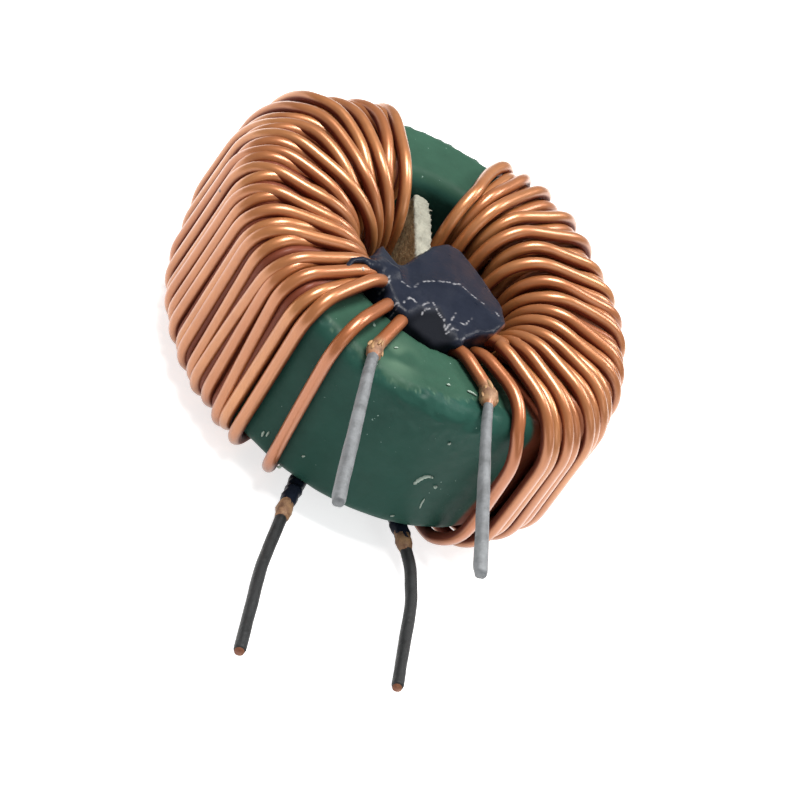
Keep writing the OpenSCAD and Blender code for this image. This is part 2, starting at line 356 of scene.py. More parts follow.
def set_material(node, material):
    """Gives a solid that stays in sight or inside another its material."""
    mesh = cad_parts[node].data
    if mesh.materials:
        mesh.materials[0] = material
    else:
        mesh.materials.append(material)


# ---------------------------------------------------------------- distance formulas

def outline_distance(p, outline):
    """Distance of x and y to a closed outline, below zero inside it: the least distance to
    its sides, inside where an odd number of sides lies to the right."""
    x, y = p[..., 0], p[..., 1]
    best, inside = np.full(x.shape, np.inf), np.zeros(x.shape, bool)
    corners = np.asarray(outline, float)
    for a, b in zip(corners, np.roll(corners, -1, 0)):
        side = b - a
        share = np.clip(((x - a[0]) * side[0] + (y - a[1]) * side[1]) / (side @ side), 0, 1)
        best = np.minimum(best, np.hypot(x - a[0] - share * side[0], y - a[1] - share * side[1]))
        if side[1]:
            spans = (a[1] > y) != (b[1] > y)
            inside ^= spans & (x < a[0] + (y - a[1]) * side[0] / side[1])
    return np.where(inside, -best, best)


def rod_distance(p, a, b, r):
    """Distance to a round rod with ball ends, whose radius may run from r[0] to r[1]."""
    a, side = np.asarray(a, float), np.asarray(b, float) - np.asarray(a, float)
    share = np.clip((p - a) @ side / (side @ side), 0, 1)
    gap = np.linalg.norm(p - a - share[..., None] * side, axis=-1)
    return gap - (r[0] + (r[1] - r[0]) * share)


def string_distance(p, places, radii):
    """Distance to rods strung through the places."""
    best = np.full(p.shape[:-1], np.inf)
    for a, b, r, s in zip(places, places[1:], radii, radii[1:]):
        best = np.minimum(best, rod_distance(p, a, b, (r, s)))
    return best


def melt(a, b, width):
    """The lesser of two distances, with a fillet of the given width between them."""
    share = np.clip(0.5 + 0.5 * (b - a) / width, 0, 1)
    return b + (a - b) * share - width * share * (1 - share)


def cut(a, b, width):
    """The greater of two distances, with a rounded edge of the given width between them."""
    return -melt(-a, -b, width)


# ---------------------------------------------------------------- the windings' routes

# Each winding's route, in tables of turn number, counted from the leads, and value:
#   places    angle of the turn on the front face
#   lean      degrees that it reaches further round at the back end of the wall
#   slant     degrees that it reaches further round at the hole
#   over      angle at the hole's front end for an upper turn, which slides across the lower ones
#   inside    how far inside the second layer an upper turn lies there
#   bow       degrees by which it bows sideways on the front face
#   sweep     degrees by which it sweeps forward at the rim
#   off       how far an upper turn stands off the wall
#   back_off  how much further it stands off at the back end of the wall
# and its single numbers:
#   sign          the way round that the turns are counted
#   seed          seed of their straying
#   largest_bend  largest bend at the rim
#   closer        how much closer to the wall a lower turn lies than an upper one
#   highest       the highest that a lower turn rises over the face at the rim
#   sway          its share of the sway along the wall
#   bed_painted_shade  how much painted shade darkens the bed under its upper turns
ROUTES = {
    "left": {
        "places": ((0, 240), (1, 230.5), (20, 150.5), (28, 115.5)),
        "lean": ((0, 7), (1, 5), (8, 4), (20, 0)),
        "slant": ((0, 2), (1, 0), (4, 0), (12, -5), (20, -5), (28, 0), (29, 2)),
        "over": ((1, 232), (3, 228.5), (5, 225), (7, 221), (9, 217), (11, 211.5), (13, 203),
                 (17, 185), (21, 168), (27, 144), (29, 131)),
        "inside": ((1, 0), (11, 0), (13, 0.8), (17, 1.9), (27, 1.9), (29, 1.2)),
        "bow": ((0, -1), (1, 0.6), (12, 0.6), (18, -1.5), (24, -3), (28, -1.5), (29, -1.5)),
        "sweep": ((0, 0),),
        "off": ((1, 0.05), (9, 0.15), (15, 0.45), (17, 0.75), (19, 1.4), (21, 2.2), (23, 2.6),
                (25, 1.7), (27, 1.0), (29, 0.7)),
        "back_off": ((0, 0),),
        "sign": -1, "seed": 11, "largest_bend": 6.0, "closer": 0.5, "highest": 0.3,
        "sway": 1, "bed_painted_shade": 0.95,
    },
    "right": {
        "places": ((0, -66), (1, -57), (24, 51.5), (28, 65.5)),
        "lean": ((0, 11), (1, 11), (2, 8), (10, 2), (14, 0)),
        "slant": ((0, 0), (4, 0), (12, 6), (29, 8)),
        "over": ((1, -57), (5, -38), (13, 6), (19, 42), (25, 66), (29, 82)),
        "inside": ((1, 0), (29, 0.3)),
        "bow": ((0, 1.5), (1, 1.5), (2, 1), (5, 0.8), (24, -0.6), (27, 0.3), (29, 1.2)),
        "sweep": ((0, 5), (1, 4), (2, 2.5), (4, 0)),
        "off": ((0, 0.7), (1, 0.8), (5, 0.8), (8, 0.5), (11, 0.05), (17, 0.05), (19, 0.6),
                (21, 1.2), (24, 1.7), (26, 1.5), (27, 1.1), (28, 0.8), (29, 0.05)),
        "back_off": ((0, 0.9), (2, 0.7), (5, 1.1), (8, 0.9), (10, 0.3), (12, 0)),
        "sign": 1, "seed": 5, "largest_bend": 4.4, "closer": 0.15, "highest": 0.75,
        "sway": 0.2, "bed_painted_shade": 0.6,
    },
}
# Legs through the hole: every fourth turn from the given one on runs deep towards the middle
DEEP_FROM, DEEP_R, MID_R, MID_BEND = 15, 4.9, 7.1, 6.0
# The upper layer: its distance inside the lower one in the hole, its rise over it on the
# faces, and how much looser its bends are
SECOND_LAYER, SECOND_RISE, LOOSER = 1.4, 1.05, 1.3
# Degrees from the last turn but one to the last, and the highest rise at the rim
LAST_STEP, HIGHEST_RISE = 3.6, 0.95
# Rise of the very first turn at the rim, and the gap between wire and coat
FIRST_RISE, WIRE_GAP = 0.9, 0.05
# The bed: radius of its wires, and how much closer to the wall they lie than the upper turns
BED_R, BED_CLOSER = 0.45, 0.85

# Leads: angle at the hole, layer, bends as sideways place and distance beyond the rim, the
# length of burnt enamel past the first bend, and the tin's radius at its start and its tip
LEADS = {
    "front_left": (251, 1, ((-5.3, -2.5), (-5.75, 0.3), (-7.3, 13.9)), 1.0, (0.41, 0.50)),
    "front_right": (276, 1, ((4, -3.3), (3.77, 0.3), (3.5, 14.6)), 1.3, (0.37, 0.50)),
    "back_left": (256, 2, ((-4.3, 0.5), (-5.8, 7.7), (-6.7, 16.1)), 1.8, (0.46, 0.44)),
    "back_right": (286, 2, ((5.2, -1.2), (6.1, 1.7), (6.3, 5.1), (5.5, 13.5)), 1.5,
                   (0.46, 0.45)),
}
# A lead's bend at the rim and its further ones, and the length of wire counted as lead
LEAD_BEND, FAR_BEND, LEAD_LENGTH = 1.6, 6.0, 34
# Centre lines: distance between points before and after they are eased, and the easing's width
FINE_STEP, PATH_STEP, EASE = 0.15, 0.42, 0.3
# Radii that a turn bows between on the front face, and the radius past which it is on the wall
BOW_FROM, BOW_TO, WALL_FROM = 9, 16, 13
# Height over which the sweep at the rim dies away, and how far up and down the sway reaches
SWEEP_HEIGHT, SWAY_REACH = 12.8, 7.5
# Stripped wire inside its tin: its radius, how burnt it looks, and how far the front tip of
# the wire lies inside the tin's
BARE_R, BARE_BURN, INSIDE_TIP = 0.34, 0.3, 0.5


def run_height():
    """Height of a wire that runs along a face."""
    return COAT_TOP + WIRE_GAP + sizes().wire / 2


def layer_radius(layer):
    """Radius of a layer's legs in the hole."""
    first = sizes().coat_inner - WIRE_GAP - sizes().wire / 2
    return first if layer == 1 else first - SECOND_LAYER


def snug_bend():
    """Bend radius of a wire that hugs the coat's edge."""
    return sizes().coat_edge + WIRE_GAP + sizes().wire / 2


def on_rim(bend, z):
    """A lead's bend, given by its sideways place and its distance beyond the rim."""
    return np.array([bend[0], -(COAT_RO + bend[1]), z])


def turn_corners(side):
    """Corners, their turn numbers and bend radii for all turns of one winding, in the order
    of the wire: every second place on the way out from the leads, and the places between on
    the way back. Each turn strays by its own small angle at the front and at the back. Upper
    turns stand off the wall as the table says, lower ones by less, and each rises over the
    face's edge by a share of that. The bends at the rim have the radius that just clears the
    coat's rounded edge: for a stand-off a and a rise b it is larger than the snug one by
    a + b + the square root of 2ab, up to the winding's largest bend."""
    turns, wire, route = sizes().turns, sizes().wire, ROUTES[side]
    rng = np.random.default_rng(route["seed"])
    stray = rng.uniform(-1, 1, (3, turns)) * sizes().unevenness
    t = np.arange(turns)
    k = np.where(t < turns // 2, 2 * t, turns - 1 - 2 * (t - turns // 2))
    a = np.where(k == turns - 1, lookup(k - 1, route["places"]) + route["sign"] * LAST_STEP,
                 lookup(k, route["places"]))
    at_hole_angle = a + lookup(k, route["slant"])
    # How far each turn stands off the wall, and how far it rises over the face at the rim
    odd = k % 2 == 1
    most = lookup(k, route["off"]) * (1 - 0.08 * np.abs(stray[2])[k])
    least = 0.06 + 0.05 * stray[2][k]
    held_off = odd | (k == 0) & (side == "right")
    out = np.maximum(np.where(held_off, most, most - route["closer"]), least)
    rise = np.minimum(0.8 * out + 0.3 * np.clip(1 - out / 1.2, 0, 1), HIGHEST_RISE)
    rise = np.where(odd, rise, np.where(k == 0, FIRST_RISE, np.minimum(rise, route["highest"])))
    round_bend = snug_bend() + out + rise + np.sqrt(2 * out * rise) - 0.1
    round_bend = np.minimum(round_bend, route["largest_bend"])
    # The first and the last turn don't stray
    swing = np.where(odd, 1.7, 1.1) * (k > 0) * (k < turns - 1)
    front = a + swing * stray[0][k]
    back = a + lookup(k, route["lean"]) + swing * stray[1][k]
    level, snug = run_height(), snug_bend()
    outer = COAT_RO + WIRE_GAP + wire / 2
    # A turn that leans is a chord of the wall, so its ends lie further out than its middle
    wall = outer / np.cos(np.radians(np.abs(back - front)) / 2) + out
    wall_back = wall + lookup(k, route["back_off"])

    def at_hole(leg, z_sign):
        """Corners and bends at the hole's edge, for legs counted along the wire."""
        second = leg > turns // 2
        upper = second * odd * (z_sign > 0)
        further = upper * (lookup(k, route["inside"]) + 0.25 * np.where(k % 4 == 1, 1, -1))
        r = np.where(second, layer_radius(2), layer_radius(1)) - further
        angle = np.where(upper > 0, lookup(k, route["over"]) + 1.5 * stray[1][k], at_hole_angle)
        return (polar(r, angle, z_sign * (level + np.where(second, SECOND_RISE, 0))),
                np.where(second, snug + LOOSER, snug) + 0.8 * np.maximum(further, 0))

    back_hole, back_bend = at_hole(t, -1)
    front_hole, front_bend = at_hole(t + 1, 1)
    middle = polar(np.where((k >= DEEP_FROM) & (k % 4 == 1), DEEP_R, MID_R), at_hole_angle, 0)
    corners = np.stack([back_hole, polar(wall_back, back, -level - rise),
                        polar(wall, front, level + rise), front_hole, middle], 1)
    bends = np.stack([back_bend, round_bend, round_bend, front_bend,
                      np.full(turns, MID_BEND)], 1)
    # Only legs of the upper layer have a corner in the middle of the hole
    keep = np.ones((turns, 5), bool)
    keep[:turns // 2, 4] = False
    keep[-1, 4] = False
    numbers = np.repeat(k[:, None], 5, 1)[..., None]
    return np.concatenate([corners, numbers], -1)[keep], bends[keep]


def lead_corners(name):
    """Corners and bends of a lead, from the edge of the hole to its tip."""
    exit_angle, layer, bends = LEADS[name][:3]
    z = run_height() * (1 if name.startswith("front") else -1)
    points = [polar(layer_radius(layer), exit_angle, z)] + [on_rim(b, z) for b in bends]
    points = np.concatenate([points, np.zeros((len(points), 1))], 1)
    return points, np.array([snug_bend(), LEAD_BEND] + [FAR_BEND] * (len(bends) - 1))


def winding_path(side):
    """Centre line of one winding, from its front lead's tip to its back lead's tip, with the
    turn number as a fourth column. The turns bow sideways on the front face by an angle that
    rises and falls between the hole and the rim, sweep forward at the rim by an angle that
    dies away down the wall, and sway a little in the middle of the wall."""
    route, turns = ROUTES[side], np.arange(sizes().turns)
    front, front_bend = lead_corners("front_" + side)
    back, back_bend = lead_corners("back_" + side)
    middle, middle_bend = turn_corners(side)
    corners = np.concatenate([front[::-1], middle, back])
    bends = np.concatenate([front_bend[::-1], middle_bend, back_bend])
    fine = resample(filleted(corners, bends), FINE_STEP)
    path = resample(eased(fine, EASE, FINE_STEP), PATH_STEP)
    along, z, number = path_length(path), path[:, 2], path[:, 3]
    r, angle = np.hypot(path[:, 0], path[:, 1]), np.degrees(np.arctan2(path[:, 1], path[:, 0]))
    turn = ~(np.minimum(along, along[-1] - along) < LEAD_LENGTH)
    across = np.clip((r - BOW_FROM) / (BOW_TO - BOW_FROM), 0, 1)
    loose = np.random.default_rng(17).uniform(-1.6, 1.6, len(turns)) * sizes().unevenness
    bow = lookup(number, route["bow"]) + np.interp(number, turns, loose)
    shift = bow * 4 * across * (1 - across) * ramp(z, 4, 6.5) * turn
    down = across + np.clip(0.5 - z / SWEEP_HEIGHT, 0, 1)
    sweep = lookup(number, route["sweep"]) * turn * (r > BOW_FROM)
    shift = shift + sweep * (np.sin(1.5708 * down) - 1)
    sway = np.random.default_rng(29).uniform(-1, 1, len(turns)) * sizes().unevenness
    sway *= np.where(turns % 2, 0.6, 0.3) * route["sway"]
    on_wall = np.clip(1 - (z / SWAY_REACH) ** 2, 0, 1) * (r > WALL_FROM) * turn
    shift = shift + np.interp(number, turns, sway) * on_wall
    path[:, :3] = polar(r, angle + shift, z)
    return path


def lower_turns(side, step=3.4):
    """Centre lines of the bed of lower turns, a few degrees apart. Each follows the coat from
    the hole's front edge over the faces and the wall to the hole's back edge, and stands off
    the wall a little less than the upper turns do there."""
    route = ROUTES[side]
    places = route["places"]
    number = np.linspace(2.6, 28.4, int(abs(places[-1][1] - places[0][1]) / step))
    angle = lookup(number, places)
    under = np.clip(lookup(number, route["off"]) - BED_CLOSER, -0.2, 1.6)
    behind = under + lookup(number, route["back_off"])
    level, outer = run_height() - 0.15, COAT_RO + sizes().wire / 2
    hole, back = layer_radius(1) + 0.1, angle + lookup(number, route["lean"])
    corners = np.stack([
        polar(hole, angle, 4), polar(hole, angle, level), polar(outer + under, angle, level),
        polar(outer + behind, back, -level), polar(hole, back, -level), polar(hole, back, -4)], 1)
    bends = np.stack([0 * under, 0 * under + 1.9, 2.1 + np.clip(1.5 * under, 0, 2),
                      2.1 + np.clip(1.5 * behind, 0, 2), 0 * under + 1.9, 0 * under], 1)
    return [resample(filleted(c, b), 0.5) for c, b in zip(corners, bends)]


def lead_start(name):
    """Place where a lead's tin starts."""
    bends, burnt = LEADS[name][2:4]
    z = run_height() * (1 if name.startswith("front") else -1)
    first, second = on_rim(bends[0], z), on_rim(bends[1], z)
    return first + burnt * unit(second - first)


def tin_length(path, name):
    """Length of wire between a lead's tip and the start of its tin, whichever end of the
    winding the lead is."""
    half = len(path) // 2
    end = path[:half] if name.startswith("front") else path[half:][::-1]
    nearest = np.argmin(np.linalg.norm(end[:, :3] - lead_start(name), axis=1))
    return path_length(end)[nearest]


# ---------------------------------------------------------------- material helpers

def feed(tree, source, socket):
    """Links an output to a socket, or sets the socket to a plain value."""
    if isinstance(source, bpy.types.NodeSocket):
        tree.links.new(source, socket)
    else:
        socket.default_value = source


def add(tree, kind, **values):
    """A new node, to the right of those before it. Its properties are set by name, and its
    sockets are set or linked by name."""
    made = tree.nodes.new(kind)
    made.location = (200 * len(tree.nodes), 0)
    for key, value in values.items():
        if hasattr(made, key):
            setattr(made, key, value)
        else:
            feed(tree, value, made.inputs[key.replace("_", " ")])
    return made


def math(tree, operation, *operands, use_clamp=False):
    """The result of an operation on two or three operands, each a number or an output."""
    made = add(tree, "ShaderNodeMath", operation=operation, use_clamp=use_clamp)
    for operand, socket in zip(operands, made.inputs):
        feed(tree, operand, socket)
    return made.outputs[0]


def new_group(name, numbers, result):
    """An empty node group with a Vector and the named numbers as its inputs, and one result."""
    tree = bpy.data.node_groups.new(name, "ShaderNodeTree")
    tree.interface.new_socket("Vector", in_out="INPUT", socket_type="NodeSocketVector")
    for label, value in numbers.items():
        socket = tree.interface.new_socket(label, in_out="INPUT", socket_type="NodeSocketFloat")
        socket.default_value = value
    tree.interface.new_socket(result, in_out="OUTPUT", socket_type="NodeSocketFloat")
    source, sink = add(tree, "NodeGroupInput"), add(tree, "NodeGroupOutput")
    return tree, source.outputs, sink.inputs[result]


def mottle_group():
    """Soft unevenness: two noises of different size, mixed and stretched about one half."""
    if "mottle" in bpy.data.node_groups:
        return bpy.data.node_groups["mottle"]
    tree, given, value = new_group("mottle", {"Scale": 400, "Contrast": 1}, "Value")
    finer = math(tree, "MULTIPLY", given["Scale"], 5.3)
    big = add(tree, "ShaderNodeTexNoise", Vector=given["Vector"], Scale=given["Scale"], Detail=3)
    small = add(tree, "ShaderNodeTexNoise", Vector=given["Vector"], Scale=finer, Detail=4)
    share = 0.35
    both = math(tree, "MULTIPLY_ADD", small.outputs["Fac"], share, big.outputs["Fac"])
    centred = math(tree, "SUBTRACT", both, (1 + share) / 2)
    feed(tree, math(tree, "MULTIPLY_ADD", centred, given["Contrast"], 0.5, use_clamp=True), value)
    return tree


def specks_group():
    """Scattered small marks: a mask that is 1 inside the few noise peaks over a level."""
    if "specks" in bpy.data.node_groups:
        return bpy.data.node_groups["specks"]
    tree, given, mask = new_group("specks", {"Scale": 2000, "Level": 0.7}, "Mask")
    noise = add(tree, "ShaderNodeTexNoise", Vector=given["Vector"], Scale=given["Scale"],
                Detail=2, Roughness=0.6)
    over = math(tree, "SUBTRACT", noise.outputs["Fac"], given["Level"])
    feed(tree, math(tree, "MULTIPLY", over, 30, use_clamp=True), mask)
    return tree


def shade(colour, times, tint=(1, 1, 1)):
    """A colour made lighter or darker, and tinted, with its alpha kept."""
    return tuple(min(1, c * t * times) for c, t in zip(colour, tint)) + (1,)


class Look:
    """A material with one Principled shader. Its methods add nodes and give back the output
    of the last one, and sets() feeds the shader."""

    def __init__(self, name):
        self.material = bpy.data.materials.new(name)
        self.material.use_nodes = True
        self.tree = self.material.node_tree
        self.tree.nodes.clear()
        self.shader = add(self.tree, "ShaderNodeBsdfPrincipled")
        add(self.tree, "ShaderNodeOutputMaterial", Surface=self.shader.outputs["BSDF"])

    def sets(self, **values):
        """Sets or links sockets of the shader by name."""
        for key, value in values.items():
            feed(self.tree, value, self.shader.inputs[key.replace("_", " ")])

    def shared(self, group, **values):
        """A shared node group on Object coordinates, with this material's own values."""
        place = add(self.tree, "ShaderNodeTexCoord").outputs["Object"]
        return add(self.tree, "ShaderNodeGroup", node_tree=group, Vector=place,
                   **values).outputs[0]

    def mottle(self, scale, contrast):
        """Soft unevenness, from 0 to 1."""
        return self.shared(mottle_group(), Scale=scale, Contrast=contrast)

    def specks(self, scale, level):
        """A mask of scattered small marks."""
        return self.shared(specks_group(), Scale=scale, Level=level)

    def own(self, name):
        """The number that a piece's points carry under a name."""
        return add(self.tree, "ShaderNodeAttribute", attribute_name=name).outputs["Fac"]

    def mixed(self, factor, first, second):
        """A colour between two colours by a factor."""
        mix = add(self.tree, "ShaderNodeMix", data_type="RGBA")
        for source, socket in ((factor, 0), (first, 6), (second, 7)):
            feed(self.tree, source, mix.inputs[socket])
        return mix.outputs[2]

    def spread(self, factor, low, high):
        """A number that runs from low to high as the factor runs from 0 to 1."""
        return add(self.tree, "ShaderNodeMapRange", Value=factor, To_Min=low,
                   To_Max=high).outputs["Result"]

    def bump(self, height, strength, distance):
        """A bump on the shader's normal."""
        bump = add(self.tree, "ShaderNodeBump", Strength=strength, Distance=distance,
                   Height=height)
        self.sets(Normal=bump.outputs["Normal"])


# ---------------------------------------------------------------- materials

def copper_material():
    """Enamelled copper: a half metal under a clear coat, its tone drifting along the wire, with
    a few dark nicks, painted shade in dark red-brown and a dull finish on the sides that face
    the coat, where the turns shade each other, and burnt golden to brown where the enamel was
    scorched off."""
    look, copper = Look("enamelled_copper"), tuple(finish().copper)
    drift, dull, char = look.mottle(260, 2.2), look.mottle(900, 2.5), look.mottle(1500, 2.6)
    tone, deep, burn = look.own("tone"), look.own("deep"), look.own("burn")
    plain = look.mixed(drift, shade(copper, 0.86), shade(copper, 1.1, (1, 1.12, 1.2)))
    toned = look.mixed(tone, plain, shade(copper, 0.82, (1, 0.86, 0.8)))
    # Painted shade: dark red-brown on the sides that face the coat, where the turns shade each
    # other
    sunk = look.mixed(deep, toned, (0.15, 0.024, 0.006, 1))
    nicked = look.mixed(look.specks(620, 0.765), sunk, (0.12, 0.045, 0.025, 1))
    golden = look.mixed(drift, (0.36, 0.19, 0.11, 1), (0.58, 0.36, 0.16, 1))
    scorched = look.mixed(char, (0.16, 0.075, 0.040, 1), golden)
    soft = look.spread(deep, look.spread(dull, 0.31, 0.42), 0.7)
    clear = look.spread(deep, 0.85, 0.1)
    look.sets(Base_Color=look.mixed(burn, nicked, scorched),
              Roughness=look.spread(burn, soft, 0.62), Metallic=look.spread(burn, 0.45, 0.10),
              Specular_IOR_Level=0.6, Coat_Weight=look.spread(burn, clear, 0.0),
              Coat_Roughness=0.26)
    look.bump(dull, 0.10, 0.00004)
    return look.material


def coat_material():
    """Green epoxy: semi-gloss, lighter and greyer on the faces, partly dust and partly painted
    light, and darker on the wall as painted shade, with pale rubbed marks and dust specks, and
    painted shade in dark brown between the turns."""
    look, green = Look("green_epoxy"), tuple(finish().coat)
    cloud, fine, rub = look.mottle(220, 2), look.mottle(1500, 2), look.own("rubbed")
    # The faces' lighter, greyer green is partly dust and partly painted light; the wall's darker
    # green is painted shade
    dust_and_light_tint = (1.3, 0.98, 0.86)
    wall = look.mixed(cloud, shade(green, 0.72), shade(green, 1.0))
    face = look.mixed(cloud, shade(green, 0.85, dust_and_light_tint), shade(green, 1.2, dust_and_light_tint))
    both = look.mixed(look.own("face"), wall, face)
    rubbed = look.mixed(rub, both, (0.13, 0.22, 0.15, 1))
    gritty = look.mixed(look.specks(900, 0.765), rubbed, (0.30, 0.42, 0.36, 1))
    dusty = look.mixed(look.specks(2600, 0.735), gritty, (0.24, 0.36, 0.31, 1))
    # Painted shade: dark brown on the coat between the turns
    look.sets(Base_Color=look.mixed(look.own("between"), dusty, (0.16, 0.040, 0.018, 1)),
              Roughness=look.spread(rub, look.spread(fine, 0.36, 0.50), 0.6),
              Specular_IOR_Level=0.10)
    look.bump(fine, 0.12, 0.00008)
    return look.material


def glue_material():
    """Black adhesive: glossy blue-black, brown along its upper and right rim, partly thin adhesive
    over copper and partly a painted reflection of the copper, painted shade and a dull finish in
    its sunk part, and pale painted glints along its ridges, crease and wire rims."""
    look, black = Look("black_adhesive"), tuple(finish().glue)
    cloud, hollow = look.mottle(500, 2), look.own("sunk")
    deep = look.mixed(cloud, shade(black, 0.85), shade(black, 1.2))
    # Brown rim: partly thin adhesive over copper, partly a painted reflection of the copper
    thin_rim_and_painted_reflection = look.mixed(look.own("thin"), deep, (0.26, 0.10, 0.055, 1))
    # Painted shade in the sunk part
    sunk = look.mixed(hollow, thin_rim_and_painted_reflection, shade(black, 0.35))
    # Pale painted glints
    look.sets(Base_Color=look.mixed(look.own("painted_glint"), sunk, (0.30, 0.30, 0.32, 1)),
              Roughness=look.spread(hollow, look.spread(cloud, 0.26, 0.38), 0.75),
              Specular_IOR_Level=0.12)
    look.bump(look.mottle(2600, 3), 0.06, 0.00008)
    return look.material


def board_material():
    """Pressed fibre: grey-tan skins and a cream, fuzzy cut edge."""
    look, cream = Look("fibre_board"), tuple(finish().board)
    cloud = look.mottle(900, 2.5)
    edge = look.mixed(cloud, shade(cream, 0.72), shade(cream, 1.22))
    skins = look.mixed(cloud, (0.20, 0.14, 0.065, 1), (0.38, 0.28, 0.15, 1))
    look.sets(Base_Color=look.mixed(look.own("cut"), skins, edge), Roughness=0.8)
    look.bump(cloud, 0.5, 0.0002)
    return look.material


def tin_material(name, colour, metal):
    """Dip tin: a grey half metal, rubbed dull, with darker and lighter patches."""
    look = Look(name)
    cloud = look.mottle(1000, 2.5)
    look.sets(Base_Color=look.mixed(cloud, shade(colour, 0.72), shade(colour, 1.2)),
              Roughness=look.spread(cloud, 0.45, 0.68), Metallic=metal)
    look.bump(look.mottle(3500, 2.5), 0.3, 0.0001)
    return look.material


def plain_material(name, colour, roughness, scale=1200):
    """A dull material with a little unevenness in its tone."""
    look = Look(name)
    look.sets(Base_Color=look.mixed(look.mottle(scale, 2), shade(colour, 0.8),
                                    shade(colour, 1.2)), Roughness=roughness)
    return look.material


# ---------------------------------------------------------------- forms of the single pieces

# Turn number below which the wire, like its leads, has the deepest tone
DEEP_TONE_TO = 0.7
# How far the cut copper stands out of a back lead's tin
CUT_COPPER = 0.06
# How far from a front lead's middle its scorched flakes stand
FLAKES_STAND_AT = {"front_left": 0.46, "front_right": 0.52}
# How much the burnt enamel swells on each lead
SWELL = {"front_left": 0.12, "front_right": 0.42, "back_left": 0.22, "back_right": 0.22}

# Angles of the coat under the left and the right winding, where it gets painted shade between the
# turns
WOUND = (111, 231), (302, 72)
# Radius at which the front face's lighter part, partly dust and partly painted light, ends, by
# angle
FACE_END = ((225, 15.0), (246, 15.3), (254, 15.6), (257, 15.3), (262, 15.5), (265, 15.0),
            (268, 14.5), (275, 14.6), (282, 13.6), (290, 13.5), (310, 14.4))

# Chips of resin and dust stuck to the coat: kind of place, then points as angle and height on
# the wall or as x and y on the front face, and the radius
CHIPS = (
    ("wall", ((280.0, -1.15), (280.2, -0.6), (281.1, -0.08), (282.3, 0.08), (283.3, -0.02)), 0.15),
    ("wall", ((285.6, -0.95), (286.3, -0.75)), 0.15),
    ("wall", ((285.9, -2.3), (286.2, -2.9), (286.9, -3.4)), 0.07),
    ("wall", ((279.8, 3.55), (280.3, 3.75)), 0.09),
    ("wall", ((251.3, -3.7), (251.9, -3.5)), 0.08),
    ("wall", ((239.6, -4.2), (240.0, -4.7)), 0.10),
    ("wall", ((240.7, -3.9), (240.9, -4.4)), 0.08),
    ("wall", ((281.0, -4.95), (281.9, -4.75)), 0.08),
    ("wall", ((248.1, -5.9), (248.9, -5.6)), 0.12),
    ("face", ((2.45, -12.85), (2.85, -12.8), (3.25, -12.9)), 0.09),
    ("face", ((0.75, -13.2), (1.05, -13.1)), 0.09),
    ("face", ((-5.1, -14.6), (-4.85, -14.5)), 0.08),
    ("face", ((-3.6, -12.0), (-3.3, -11.8)), 0.07),
)

# Height of the front adhesive's crease, and how deep both adhesives reach into the hole
CREST, GLUE_DEPTH = 7.85, 5.2
# Outlines of the adhesive on the two faces, and the crease across the top of the front one
FRONT_GLUE = ((-6.8, -5.2), (-6.2, -4.2), (-5.5, -2.4), (-4.2, -4), (-3.8, -3.7), (-1.1, 0.8),
              (0.2, 2.2), (1.5, 2.3), (2.4, 1.2), (3.8, -0.9), (4.9, -3), (4.9, -5.3),
              (4, -7), (2.6, -7.8), (0.8, -9.5), (-0.7, -10.1), (-2.8, -9.6), (-4.1, -9.1),
              (-4.6, -8.2))
BACK_GLUE = ((-6.6, -5), (-5, -2), (-2, -0.4), (2, -0.4), (5, -2), (6.6, -5), (4.6, -8),
             (3, -9.4), (0, -9.9), (-3, -9.4), (-4.6, -8))
CREASE = ((-6, -5.4), (-4.2, -6.5), (-3.3, -6.9), (-2.4, -5.5), (-1.3, -4.7), (0.3, -4.0),
          (1.2, -4.2), (2.7, -4.9), (5, -6))
# Sunk part between the two front leads
RECESS = ((-3.6, -9.6), (-2.4, -8.0), (-1.5, -7.5), (-0.7, -6.9), (-0.1, -7.7), (0.2, -8.5),
          (0.8, -9.0), (1.0, -10.6), (-1.2, -11), (-3.8, -10.6))


# The front adhesive's arm over the first turns, and the thin loop that it ends in: places and
# radii
ARM = (((-5.6, -5.4, 7.2), (-6.3, -6.2, 7.7), (-6.9, -6.8, 8.0)), (0.75, 0.55, 0.36))
LOOP = (((-6.8, -6.5, 8.0), (-7.5, -6.6, 8.1), (-8.3, -7.2, 8.1), (-8.6, -8.0, 7.95),
         (-8.5, -8.4, 7.75)), (0.34, 0.24, 0.20, 0.20, 0.16))


def front_glue_top(p):
    """Height of the front adhesive: two slopes that fall away from the crease, a sunk part
    between the leads, and a slight unevenness."""
    x, y = p[..., 0], p[..., 1]
    over = y - lookup(x, CREASE)
    top = melt(CREST - 0.20 * over, CREST + 0.10 * over, 0.12)
    sunk = np.clip(6.75 + 0.22 * (y + 10), 6.4, 7.3)
    inside = 0.75 * ramp(-outline_distance(p, RECESS), -0.2, 0.9)
    flat = np.stack([x, y, 0 * x], -1)
    return top + (np.minimum(sunk, top) - top) * inside + 0.02 * rough(flat, 2.6, 3)


def front_glue_distance(p):
    """The front adhesive: its outline cut off by its top and floor, and melted together with
    the collars round the wires that it holds, and with the arm that reaches over the first
    turns and ends in a thin loop."""
    side = outline_distance(p, FRONT_GLUE)
    wavy = side + 0.04 * rough(p, 1.3, 4)
    body = cut(wavy, p[..., 2] - front_glue_top(p), 0.45)
    body = np.maximum(body, COAT_TOP - GLUE_DEPTH - p[..., 2])
    level = run_height()
    # Collars: where each starts and ends on its wire, and its radius at both
    for a, b, r in (
            (polar(8.2, LEADS["front_left"][0], level), (-2.95, -8.7, level), (0.70, 0.50)),
            (polar(8.3, 242, level), polar(9.3, 241.5, level - 0.05), (0.72, 0.55)),
            (polar(7.4, 231, level + 0.3), polar(8.9, 230.5, level + 0.2), (0.85, 0.56)),
            (polar(8.0, LEADS["front_right"][0], level), (1.1, -9.0, level), (0.65, 0.52))):
        body = melt(body, rod_distance(p, a, b, r), 0.3)
    arm = melt(string_distance(p, *ARM), string_distance(p, *LOOP), 0.2)
    return melt(body, arm, 0.4)


